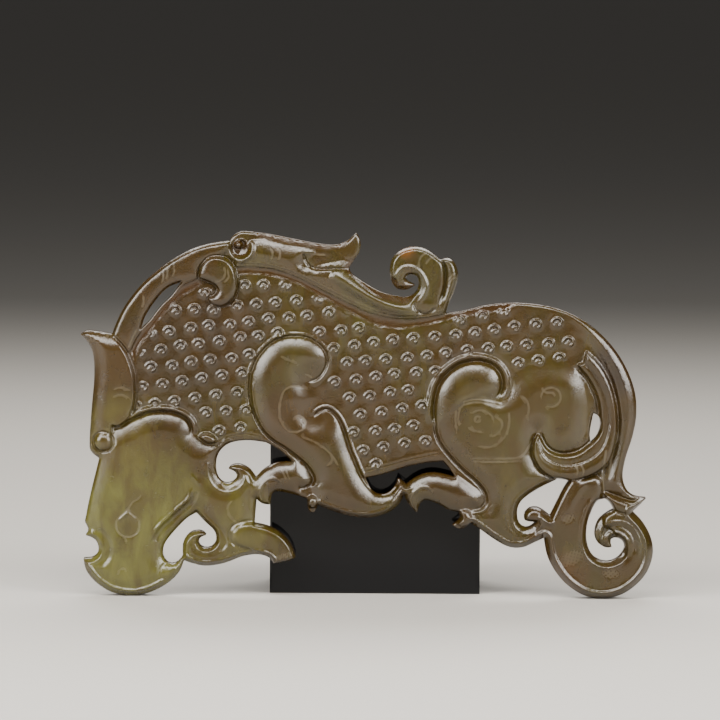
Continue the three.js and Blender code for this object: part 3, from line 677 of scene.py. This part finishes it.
def tail(relief):
    """The rump, the crescent that hooks over the thigh, the tail and its scroll."""
    ridge = spline([(34.4, 33.2), (34.6, 31.2), (35.9, 28.4), (38.9, 26.9), (41.8, 27.0), (44.8, 28.1),
                    (46.9, 29.9), (48.1, 32.4), (48.7, 35.6), (48.5, 38.6), (47.6, 41.6), (46.0, 44.6),
                    (43.6, 47.4)])
    upper = spline([(34.4, 33.2), (34.9, 32.0), (35.8, 30.4), (37.4, 29.2), (39.4, 28.7), (41.8, 29.0),
                    (43.9, 30.2), (45.6, 32.0), (46.7, 35.0), (46.8, 38.4), (46.0, 41.4), (44.4, 44.4),
                    (42.2, 47.0)])
    under = spline([(34.4, 33.2), (33.5, 31.6), (33.3, 29.2), (34.1, 27.0), (35.6, 25.3), (38.2, 24.0),
                    (41.2, 23.8), (44.1, 24.5), (46.4, 25.6), (48.4, 27.4), (49.6, 30.4), (50.1, 34.6),
                    (49.8, 39.0), (48.6, 43.4), (46.6, 47.0), (44.0, 49.6)])
    relief.form(np.vstack([under, ridge[::-1]]), 1.25 * FORM, 2.2, base=0.7 * FORM)
    relief.form(np.vstack([ridge, upper[::-1]]), 0.8 * FORM, 0.6, base=0.3 * FORM)
    relief.stroke(ridge, 0.7, 0.28, taper=0.08)
    relief.stroke(upper, 0.55, 0.28, taper=0.05)
    relief.stroke(offset(upper, 0.55), 0.6, -0.34, taper=0.05)
    relief.stroke(under[:int(0.62 * len(under))], 0.7, -0.42, taper=0.06)
    for x in (42.0, 43.2):
        relief.engrave([(x - 0.3, 26.9), (x + 0.25, 26.0), (x + 0.1, 24.9)])
    # rump: a long roll down its back edge
    rump = spline([(41.0, 55.4), (44.0, 52.6), (46.8, 48.8), (48.8, 44.8), (50.1, 40.4), (50.6, 36.0),
                   (50.3, 31.6), (49.4, 27.4), (48.0, 23.4), (49.4, 21.6), (51.0, 20.9), (58.0, 22.0),
                   (58.0, 38.0), (58.0, 46.0), (50.0, 58.0), (41.0, 62.0)])
    relief.form(rump, FORM, 5.0, open_side=[(38.0, 62.0), (39.6, 55.6)], soft=6.0)
    relief.stroke([(42.6, 53.6), (45.4, 51.2), (47.8, 47.9), (49.6, 44.0), (50.7, 40.0),
                   (51.2, 36.0), (50.9, 32.0)], 1.8, 0.22, taper=0.2)
    relief.engrave([(47.9, 30.0), (47.6, 27.0), (47.4, 24.4), (47.6, 21.4)], 0.5, 0.26)
    relief.engrave([(50.0, 33.6), (49.4, 30.0), (48.9, 26.9), (48.6, 24.2)], 0.4, 0.16)
    # tail wing: a crease with a bright slope below it
    wing = spline([(47.7, 21.3), (49.4, 20.6), (51.3, 19.9), (53.3, 19.4), (55.9, 20.5), (58.0, 19.0),
                   (54.4, 17.0), (51.3, 17.2), (49.0, 18.4), (47.7, 21.3)])
    relief.form(wing, 1.2 * FORM, 1.2, base=0.4 * FORM)
    relief.stroke([(47.8, 21.7), (49.5, 21.0), (51.4, 20.3), (53.4, 19.8), (55.6, 20.6)], 0.6, -0.36,
                  taper=0.08)
    # scroll
    scroll = spline([(48.2, 19.4), (50.4, 17.8), (53.6, 17.6), (57.6, 15.0), (60.0, 12.0), (60.0, 6.0),
                     (56.0, 1.0), (50.0, -2.0), (42.0, -2.0), (37.0, 2.4), (34.0, 7.0), (34.0, 13.0),
                     (36.0, 17.6), (38.0, 21.6), (40.6, 24.4), (43.6, 24.2), (46.2, 24.6), (47.4, 22.2),
                     (46.0, 14.6), (47.0, 7.6), (52.0, 8.8), (49.6, 13.4), (47.4, 15.0), (48.2, 19.4)])
    relief.form(scroll, 0.9 * FORM, 1.6)
    rim = np.array([(39.4, 22.0), (37.8, 16.0), (38.4, 9.6), (41.4, 5.0), (45.6, 2.9), (50.0, 3.0),
                    (53.6, 5.8), (54.8, 9.8), (53.4, 13.6), (50.4, 16.4), (52.0, 20.0), (60.0, 17.0),
                    (61.0, 0.0), (48.0, -4.0), (33.0, 2.0), (34.0, 16.0), (38.0, 23.4)])
    relief.wide_bevel(rim, 0.8, soft=0.6)
    relief.edge_ridge(rim, 1.3, 1.1, 0.45, soft=0.5)
    hollow = np.array([(40.4, 17.6), (40.2, 10.4), (42.4, 6.6), (46.6, 4.6), (50.6, 5.6), (52.8, 8.6),
                       (52.4, 12.2), (49.8, 14.6), (44.0, 21.0)])
    relief.wide_bevel(hollow, 0.5, soft=0.3)
    relief.edge_ridge(hollow, 1.1, 1.3, 0.28, soft=0.5)
    relief.stroke([(46.9, 11.3), (47.0, 13.6), (48.4, 15.3), (50.7, 15.7), (52.8, 14.9), (54.2, 13.1),
                   (54.8, 10.8), (54.2, 8.2)], 0.7, 0.26, taper=0.12)
    relief.stroke([(48.0, 11.0), (48.5, 12.8), (50.0, 13.5), (51.7, 12.6), (52.6, 10.6),
                   (52.0, 8.4)], 0.8, 0.26, taper=0.15)
    relief.stroke([(47.7, 13.0), (49.0, 14.5), (50.8, 14.7), (52.6, 13.7), (53.7, 11.6),
                   (53.5, 9.2)], 0.8, -0.26, taper=0.15)
    relief.stroke([(44.4, 24.2), (42.8, 22.2), (41.2, 19.6), (40.2, 17.0)], 2.0, 0.2)
    crosshatch(relief, (41.2, 8.3), 2.6, 30)
    crosshatch(relief, (48.9, 5.2), 1.8, -6)
    crosshatch(relief, (40.4, 16.2), 1.6, 20)


def crosshatch(relief, centre, radius, turn):
    """A patch of fine crossed lines."""
    c, s = math.cos(math.radians(turn)), math.sin(math.radians(turn))
    x, z = relief.x - centre[0], relief.z - centre[1]
    u, v = x * c + z * s, z * c - x * s
    fade = np.clip(1.6 * (1 - (u / radius) ** 2 - (v / (radius * 0.62)) ** 2), 0, 1)
    lines = np.maximum(np.cos(2 * np.pi * (u + v) / 0.90), np.cos(2 * np.pi * (u - v) / 0.90))
    share = fade * np.clip(lines * 1.8 - 0.8, 0, 1)
    relief.height -= 0.12 * share
    relief.pale_cut_and_highlight = np.maximum(relief.pale_cut_and_highlight, 0.6 * share)


def belly_rim(relief):
    """The threads where the flank ends above the neck and belly piercings."""
    relief.threads(spline([(-30.4, 30.4), (-29.0, 31.7), (-26.6, 32.6), (-23.6, 32.9), (-20.8, 32.3)]), 0.5)
    relief.threads(spline([(-0.6, 25.3), (3.8, 26.4), (8.2, 27.6), (12.0, 28.5), (14.6, 28.9)]), 0.6)


def carve(loops):
    """The whole relief."""
    relief = Relief(loops)
    relief.uneven()
    field_of_bosses(relief)
    belly_rim(relief)
    mane(relief)
    crest(relief)
    back_scroll(relief)
    hind_leg(relief)
    tail(relief)
    fore_leg(relief)
    head(relief)
    throat(relief)
    relief.finish()
    return relief


# ---------------------------------------------------------------- relief to mesh

# For each pattern of a cell's corners inside the stone (a 1, b 2, c 4, d 8, counter-clockwise from
# the lower left), the polygons that cover it. ab, bc, cd and da are points on the cell's sides.
CELLS = {
    1: [("a", "ab", "da")], 2: [("ab", "b", "bc")], 3: [("a", "b", "bc", "da")],
    4: [("bc", "c", "cd")], 5: [("a", "ab", "da"), ("bc", "c", "cd")],
    6: [("ab", "b", "c", "cd")], 7: [("a", "b", "c", "cd", "da")], 8: [("da", "cd", "d")],
    9: [("a", "ab", "cd", "d")], 10: [("ab", "b", "bc"), ("da", "cd", "d")],
    11: [("a", "b", "bc", "cd", "d")], 12: [("da", "bc", "c", "d")],
    13: [("a", "ab", "bc", "c", "d")], 14: [("ab", "b", "c", "d", "da")],
    15: [("a", "b", "c", "d")],
}


def surface(relief):
    """Points (x, z, half thickness, russet share, share of pale cut and painted highlight), triangles of one
    face, and its border's segments.
    """
    inside = relief.edge > 0
    rows, cols = inside.shape
    number = -np.ones((rows, cols), int)
    number[inside] = np.arange(inside.sum())
    points = [np.stack([relief.x[inside], relief.z[inside], relief.height[inside],
                        relief.russet_share[inside], relief.pale_cut_and_highlight[inside]], 1)]
    total = len(points[0])

    def crossings(a, b):
        """Border points on the grid sides from corner a to corner b."""
        nonlocal total
        ids = -np.ones(inside[a].shape, int)
        cut = inside[a] != inside[b]
        ids[cut] = total + np.arange(cut.sum())
        total += cut.sum()
        ea, eb = relief.edge[a][cut], relief.edge[b][cut]
        k = np.clip(ea / (ea - eb), 0.12, 0.88)
        x = relief.x[a][cut] * (1 - k) + relief.x[b][cut] * k
        z = relief.z[a][cut] * (1 - k) + relief.z[b][cut] * k
        # the side wall's points take a darker russet share of 0.8
        points.append(np.stack([x, z, np.full(len(x), WALL), np.full(len(x), 0.8), np.zeros(len(x))], 1))
        return ids

    along_row = crossings((slice(None), slice(None, -1)), (slice(None), slice(1, None)))
    along_col = crossings((slice(None, -1), slice(None)), (slice(1, None), slice(None)))
    at = {
        "a": number[:-1, :-1], "b": number[:-1, 1:], "c": number[1:, 1:], "d": number[1:, :-1],
        "ab": along_row[:-1], "cd": along_row[1:], "da": along_col[:, :-1], "bc": along_col[:, 1:],
    }
    corners = [inside[:-1, :-1], inside[:-1, 1:], inside[1:, 1:], inside[1:, :-1]]
    pattern = sum(c.astype(int) << i for i, c in enumerate(corners))
    triangles, border = [], []
    for code, polygons in CELLS.items():
        here = pattern == code
        if not here.any():
            continue
        for polygon in polygons:
            ids = [at[name][here] for name in polygon]
            for i in range(1, len(ids) - 1):
                triangles.append(np.stack([ids[0], ids[i], ids[i + 1]], 1))
            for i, name in enumerate(polygon):
                following = polygon[(i + 1) % len(polygon)]
                if len(name) == 2 and len(following) == 2:
                    border.append(np.stack([ids[i], ids[(i + 1) % len(ids)]], 1))
    return np.vstack(points), np.vstack(triangles), np.vstack(border)


def plaque_mesh(relief):
    """Both faces and the side wall between them, in metres, in the model's frame."""
    points, triangles, border = surface(relief)
    count = len(points)
    low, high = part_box("jade_plaque")
    middle = (low.y + high.y) / 2
    c, s = math.cos(STANDING_TILT), math.sin(STANDING_TILT)
    shift = drawing_origin() * MM
    x = (points[:, 0] * c - points[:, 1] * s) * MM + shift
    z = (points[:, 1] * c + points[:, 0] * s) * MM
    relief.drop = low.z - z.min()
    z += relief.drop
    y = points[:, 2] * MM
    front = np.stack([x, middle - y, z], 1)
    back = np.stack([x, middle + y, z], 1)
    ring = np.unique(border)
    place = np.zeros(count, int)
    place[ring] = np.arange(len(ring))
    rings = [border]
    extra = []
    for i, share in enumerate((-0.45, 0.45)):
        extra.append(np.stack([x[ring], middle + share * y[ring], z[ring]], 1))
        rings.append(2 * count + i * len(ring) + place[border])
    rings.append(border + count)
    faces = [triangles, triangles[:, ::-1] + count]
    for near, far in zip(rings[:-1], rings[1:]):
        faces.append(np.stack([near[:, 0], far[:, 0], near[:, 1]], 1))
        faces.append(np.stack([near[:, 1], far[:, 0], far[:, 1]], 1))
    vertices = np.vstack([front, back] + extra)
    faces = np.vstack(faces)
    mesh = bpy.data.meshes.new("carved_plaque")
    mesh.vertices.add(len(vertices))
    mesh.vertices.foreach_set("co", vertices.ravel())
    mesh.loops.add(faces.size)
    mesh.loops.foreach_set("vertex_index", faces.ravel())
    mesh.polygons.add(len(faces))
    mesh.polygons.foreach_set("loop_start", np.arange(0, faces.size, 3))
    for column, name in ((3, "russet_share"), (4, "pale_cut_and_highlight")):
        values = points[:, column]
        attribute = mesh.attributes.new(name, "FLOAT", "POINT")
        attribute.data.foreach_set("value", np.concatenate([values, values, values[ring], values[ring]]))
    mesh.update(calc_edges=True)
    mesh.validate()
    return mesh


def carved_normals(piece, relief):
    """Gives the thinned faces the normals of the full relief, so that wide triangles shade truly."""
    mesh = piece.data
    count = len(mesh.vertices)
    normals = np.empty(count * 3)
    mesh.vertex_normals.foreach_get("vector", normals)
    normals = normals.reshape(-1, 3)
    co = np.empty(count * 3)
    mesh.vertices.foreach_get("co", co)
    co = co.reshape(-1, 3)
    shift = drawing_origin() * MM
    c, s = math.cos(STANDING_TILT), math.sin(STANDING_TILT)
    x, z = (co[:, 0] - shift) / MM, (co[:, 2] - relief.drop) / MM
    u, v = x * c + z * s, z * c - x * s
    slope_z, slope_x = np.gradient(relief.smooth, GRID)
    column = np.clip((u - relief.xs[0]) / GRID, 0, len(relief.xs) - 1.001)
    row = np.clip((v - relief.zs[0]) / GRID, 0, len(relief.zs) - 1.001)
    i, j = row.astype(int), column.astype(int)
    p, q = row - i, column - j

    def at(field):
        """The field between grid points."""
        lower = field[i, j] * (1 - q) + field[i, j + 1] * q
        upper = field[i + 1, j] * (1 - q) + field[i + 1, j + 1] * q
        return lower * (1 - p) + upper * p

    gx, gz = at(slope_x), at(slope_z)
    facing = np.where(normals[:, 1] < 0, -1.0, 1.0)
    true = np.stack([-(gx * c - gz * s), facing, -(gz * c + gx * s)], 1)
    true /= np.linalg.norm(true, axis=1, keepdims=True)
    on_face = (at(relief.edge) > 2 * GRID) & (np.abs(normals[:, 1]) > 0.25)
    normals[on_face] = true[on_face]
    mesh.normals_split_custom_set_from_vertices(normals.tolist())


def thin(piece, faces):
    """Merges triangles where the surface is nearly flat, down to a number of faces."""
    have = len(piece.data.polygons)
    if have <= faces:
        return
    modifier = piece.modifiers.new("thin", "DECIMATE")
    modifier.ratio = faces / have
    bpy.context.view_layer.update()
    graph = bpy.context.evaluated_depsgraph_get()
    thinned = bpy.data.meshes.new_from_object(piece.evaluated_get(graph))
    piece.modifiers.clear()
    piece.data = thinned


def add(name, mesh, material):
    """A piece with this mesh, smoothly shaded."""
    piece = bpy.data.objects.new(name, mesh)
    bpy.context.scene.collection.objects.link(piece)
    mesh.materials.append(material)
    mesh.shade_smooth()
    return piece


# ---------------------------------------------------------------- materials


class Nodes:
    """A short way to wire up a material."""

    def __init__(self, name):
        self.material = bpy.data.materials.new(name)
        self.material.use_nodes = True
        self.tree = self.material.node_tree
        self.shader = next(n for n in self.tree.nodes if n.type == "BSDF_PRINCIPLED")

    def node(self, kind, **values):
        made = self.tree.nodes.new(kind)
        for key, value in values.items():
            if key in made.inputs:
                self.put(value, made.inputs[key])
            else:
                setattr(made, key, value)
        return made

    def put(self, value, socket):
        if isinstance(value, bpy.types.NodeSocket):
            self.tree.links.new(value, socket)
        else:
            socket.default_value = value

    def noise(self, vector, scale, detail=4.0, roughness=0.55, distortion=0.0):
        made = self.node("ShaderNodeTexNoise", Vector=vector, Scale=scale, Detail=detail,
                         Roughness=roughness, Distortion=distortion)
        return made.outputs["Fac"]

    def step(self, value, start, end):
        made = self.node("ShaderNodeMapRange", interpolation_type="SMOOTHSTEP")
        for socket, v in zip(made.inputs[:3], (value, start, end)):
            self.put(v, socket)
        return made.outputs[0]

    def mix(self, share, a, b, blend="MIX"):
        made = self.node("ShaderNodeMix", data_type="RGBA", blend_type=blend)
        self.put(share, made.inputs[0])
        self.put(a, made.inputs[6])
        self.put(b, made.inputs[7])
        return made.outputs[2]

    def maths(self, operation, a, b=0.0, c=0.0):
        made = self.node("ShaderNodeMath", operation=operation)
        for socket, v in zip(made.inputs, (a, b, c)):
            self.put(v, socket)
        return made.outputs[0]

    def set(self, **values):
        for key, value in values.items():
            self.put(value, self.shader.inputs[key.replace("_", " ")])


def jade():
    """Nephrite: yellow-green at the head, olive brown on the body, darker russet on sunk bands, wide edge
    bevels and the side wall.
    """
    n = Nodes("jade")
    place = n.node("ShaderNodeTexCoord").outputs["Object"]
    cloud = n.noise(place, 60.0, 5.0, 0.6, 0.4)
    vein = n.noise(place, 130.0, 6.0, 0.7, 1.0)
    fine = n.noise(place, 420.0, 6.0, 0.65)
    grain = n.noise(place, 3200.0, 3.0, 0.6)
    colour = n.mix(n.step(cloud, 0.38, 0.64), (0.024, 0.0130, 0.0018, 1), (0.028, 0.0200, 0.0020, 1))
    patches = [
        # where (x, z) and how wide, in metres, then the stone's colour there
        ((-0.034, 0.052), 0.020, (0.019, 0.0092, 0.0016, 1), 0.8),
        ((-0.013, 0.036), 0.010, (0.028, 0.0140, 0.0022, 1), 0.8),
        ((0.002, 0.062), 0.016, (0.033, 0.0260, 0.0036, 1), 0.7),
        ((0.014, 0.066), 0.011, (0.026, 0.0200, 0.0026, 1), 0.8),
        ((0.031, 0.037), 0.019, (0.036, 0.0265, 0.0042, 1), 0.8),
        ((-0.015, 0.049), 0.008, (0.034, 0.0260, 0.0045, 1), 0.7),
        ((-0.049, 0.013), 0.024, (0.064, 0.0590, 0.0100, 1), 1.0),
        ((-0.051, 0.032), 0.012, (0.056, 0.0440, 0.0072, 1), 0.8),
        ((-0.052, 0.047), 0.008, (0.036, 0.0185, 0.0030, 1), 0.7),
        ((-0.027, 0.016), 0.013, (0.050, 0.0410, 0.0062, 1), 0.9),
        ((0.0505, 0.047), 0.008, (0.010, 0.0045, 0.0015, 1), 0.7),
        ((0.0390, 0.004), 0.007, (0.034, 0.0140, 0.0016, 1), 0.8),
        ((0.0075, 0.0697), 0.0022, (0.105, 0.0400, 0.0060, 1), 0.9),
    ]
    wander = n.maths("MULTIPLY_ADD", vein, 0.9, 0.55)
    flat = n.node("ShaderNodeVectorMath", operation="MULTIPLY")
    n.put(place, flat.inputs[0])
    n.put((1.0, 0.0, 1.0), flat.inputs[1])
    for (x, z), radius, tint, strength in patches:
        gap = n.node("ShaderNodeVectorMath", operation="DISTANCE")
        n.put(flat.outputs[0], gap.inputs[0])
        n.put((x, 0.0, z), gap.inputs[1])
        share = n.step(n.maths("MULTIPLY", gap.outputs["Value"], wander), radius, 0.35 * radius)
        colour = n.mix(n.maths("MULTIPLY", share, strength), colour, tint)
    stretched = n.node("ShaderNodeVectorMath", operation="MULTIPLY")
    n.put(place, stretched.inputs[0])
    n.put((1.0, 1.0, 0.35), stretched.inputs[1])
    streak = n.noise(stretched.outputs[0], 240.0, 5.0, 0.6, 0.5)
    colour = n.mix(n.maths("MULTIPLY", n.step(streak, 0.45, 0.60), 0.55), colour, (0.032, 0.0165, 0.0026, 1))
    pale = n.maths("MULTIPLY", n.step(streak, 0.47, 0.34), 0.35)
    colour = n.mix(pale, colour, (1.7, 1.75, 2.2, 1), "MULTIPLY")
    colour = n.mix(n.maths("MULTIPLY", n.step(vein, 0.54, 0.74), 0.5), colour, (0.016, 0.0075, 0.0015, 1))
    colour = n.mix(n.maths("MULTIPLY", n.step(fine, 0.55, 0.72), 0.35), colour, (0.010, 0.0055, 0.0015, 1))
    # darker russet on sunk bands, wide edge bevels and the side wall
    russet_amount = n.node("ShaderNodeAttribute", attribute_name="russet_share").outputs["Fac"]
    colour = n.mix(n.maths("MULTIPLY", russet_amount, 0.70), colour, (0.028, 0.0110, 0.0016, 1))
    # pale colour: real on the unpolished floors of cuts, a painted highlight on the crests of raised threads
    # and claw rims
    pale_cut_and_highlight_share = n.node("ShaderNodeAttribute", attribute_name="pale_cut_and_highlight").outputs["Fac"]
    colour = n.mix(n.maths("MULTIPLY", pale_cut_and_highlight_share, 0.26), colour, (0.17, 0.14, 0.085, 1))
    rough = n.maths("MULTIPLY_ADD", fine, 0.24, 0.12)
    bump = n.node("ShaderNodeBump", Strength=0.7, Distance=0.00004)
    n.put(n.maths("MULTIPLY_ADD", fine, 0.5, grain), bump.inputs["Height"])
    n.set(Base_Color=colour, Roughness=n.maths("MULTIPLY_ADD", pale_cut_and_highlight_share, 0.3, rough), Normal=bump.outputs[0])
    n.shader.inputs["IOR"].default_value = 1.61
    n.shader.inputs["Subsurface Weight"].default_value = 0.08
    n.shader.inputs["Subsurface Radius"].default_value = (1.0, 0.7, 0.35)
    n.shader.inputs["Subsurface Scale"].default_value = 0.0004
    return n.material


def black_acrylic():
    """Polished black acrylic."""
    n = Nodes("black_acrylic")
    place = n.node("ShaderNodeTexCoord").outputs["Object"]
    smudge = n.noise(place, 40.0, 3.0, 0.5)
    n.set(Base_Color=(0.004, 0.004, 0.0045, 1), Roughness=n.maths("MULTIPLY", smudge, 0.12), IOR=1.49)
    n.shader.inputs["Specular IOR Level"].default_value = 0.2
    return n.material


def putty():
    """Matt pressed putty."""
    n = Nodes("putty")
    place = n.node("ShaderNodeTexCoord").outputs["Object"]
    grain = n.noise(place, 900.0, 4.0, 0.6)
    colour = n.mix(grain, (0.50, 0.47, 0.40, 1), (0.66, 0.63, 0.55, 1))
    bump = n.node("ShaderNodeBump", Strength=0.3, Distance=0.0001, Height=grain)
    n.set(Base_Color=colour, Roughness=0.85, Normal=bump.outputs[0])
    return n.material


def plain(name, colour, roughness):
    """One even colour."""
    n = Nodes(name)
    n.set(Base_Color=colour, Roughness=roughness)
    return n.material


# ---------------------------------------------------------------- the pieces


def make_plaque():
    """The carved stone, in place of the CAD slab."""
    loops = [smooth_loop(loop) for loop in section_loops("jade_plaque")]
    lowest = min(loop[:, 1].min() for loop in loops)
    loops = [loop - [0.0, lowest] for loop in loops]
    relief = carve(loops)
    piece = add("carved_plaque", plaque_mesh(relief), jade())
    thin(piece, FACES_KEPT)
    carved_normals(piece, relief)
    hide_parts("jade_plaque")
    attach(piece, "plaque")


def make_block():
    """The block keeps its CAD shape and gets its gloss."""
    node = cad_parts["display_block"]
    node.data.materials.clear()
    node.data.materials.append(black_acrylic())


def make_pads():
    """Pads of putty, pressed flat between the block and the back of the plaque."""
    material = putty()
    for name in ("putty_pad_left", "putty_pad_right", "putty_pad_low"):
        low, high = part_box(name)
        centre, radius = (low + high) / 2, (high.x - low.x) / 2
        reach = (high.y - low.y) / 2 + 0.00045
        bm = bmesh.new()
        rings, sides = 9, 40
        grid = []
        for i in range(rings):
            lift = -1 + 2 * i / (rings - 1)
            bulge = 0.84 + 0.16 * math.sqrt(max(0.0, 1 - lift * lift))
            row = []
            for j in range(sides):
                a = 2 * math.pi * j / sides
                wobble = 1 + 0.05 * math.sin(2 * a + centre.x * 900) + 0.03 * math.sin(5 * a)
                r = radius * bulge * wobble
                row.append(bm.verts.new((centre.x + r * math.cos(a), centre.y + lift * reach,
                                         centre.z + r * math.sin(a))))
            grid.append(row)
        for lower, upper in zip(grid[:-1], grid[1:]):
            for j in range(sides):
                k = (j + 1) % sides
                bm.faces.new((lower[j], upper[j], upper[k], lower[k]))
        bm.faces.new(grid[0])
        bm.faces.new(grid[-1][::-1])
        bmesh.ops.recalc_face_normals(bm, faces=bm.faces)
        mesh = bpy.data.meshes.new(name.replace("pad", "blob"))
        bm.to_mesh(mesh)
        bm.free()
        piece = add(mesh.name, mesh, material)
        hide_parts(name)
        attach(piece, "stand")


# ---------------------------------------------------------------- studio

FLOOR_REACH = 9.0  # far enough for its edge to stay out of a low view
SOFTBOX_DISTANCE = 0.55
LIGHT_COLOUR = (1.0, 0.975, 0.93)

def area_light(name, place, target, size, power):
    """A rectangular softbox that faces its target."""
    data = bpy.data.lights.new(name, "AREA")
    data.shape = "RECTANGLE"
    data.size, data.size_y = size
    data.energy = power
    data.color = LIGHT_COLOUR
    light = bpy.data.objects.new(name, data)
    light.location = place
    light.rotation_euler = (Vector(target) - Vector(place)).to_track_quat("-Z", "Y").to_euler()
    bpy.context.scene.collection.objects.link(light)


def studio():
    """A plain pale floor under soft light."""
    bm = bmesh.new()
    signs = ((-1, -1), (1, -1), (1, 1), (-1, 1))
    bm.faces.new([bm.verts.new((x * FLOOR_REACH, y * FLOOR_REACH, 0)) for x, y in signs])
    mesh = bpy.data.meshes.new("floor")
    bm.to_mesh(mesh)
    bm.free()
    floor = add("floor", mesh, plain("floor", (0.43, 0.41, 0.38, 1), 0.6))
    world = bpy.data.worlds.new("studio")
    bpy.context.scene.world = world
    world.use_nodes = True
    world.node_tree.nodes["Background"].inputs[0].default_value = (0.84, 0.82, 0.79, 1)
    world.node_tree.nodes["Background"].inputs[1].default_value = 0.08
    aim = Vector((0, 0, 0.035))
    # bearing from the front and height in degrees, width, height in metres, power
    boxes = ((-50, 25, 0.30, 0.34, 4.6), (-8, 50, 0.44, 0.18, 4.0), (50, 25, 0.30, 0.34, 4.8),
             (180, 48, 0.60, 0.30, 4.0))
    for i, (side, height, width, tall, power) in enumerate(boxes):
        turn, rise = math.radians(side), math.radians(height)
        way = Vector((math.sin(turn) * math.cos(rise), -math.cos(turn) * math.cos(rise), math.sin(rise)))
        area_light(f"softbox_{i + 1}", aim + way * SOFTBOX_DISTANCE, aim, (width, tall), power)


def camera():
    """A long lens at the viewing angle, framing what the reference view frames."""
    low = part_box("jade_plaque")[0]
    target = Vector((drawing_origin() * MM - 0.00144, low.y, 0.0477))
    elevation, distance, width = math.radians(4.5), 1.15, 0.1433
    data = bpy.data.cameras.new("camera")
    data.sensor_width = 36.0
    data.lens = 36.0 * distance / width
    data.clip_start, data.clip_end = 0.05, 30.0
    cam = bpy.data.objects.new("camera", data)
    back = Vector((0, -math.cos(elevation), math.sin(elevation)))
    cam.location = target + back * distance
    turn = (-back).to_track_quat("-Z", "Y").to_matrix().to_4x4()
    cam.matrix_world = Matrix.Translation(cam.location) @ turn @ Matrix.Rotation(STANDING_TILT, 4, "Z")
    bpy.context.scene.collection.objects.link(cam)
    bpy.context.scene.camera = cam


camera()
studio()
make_plaque()
make_block()
make_pads()
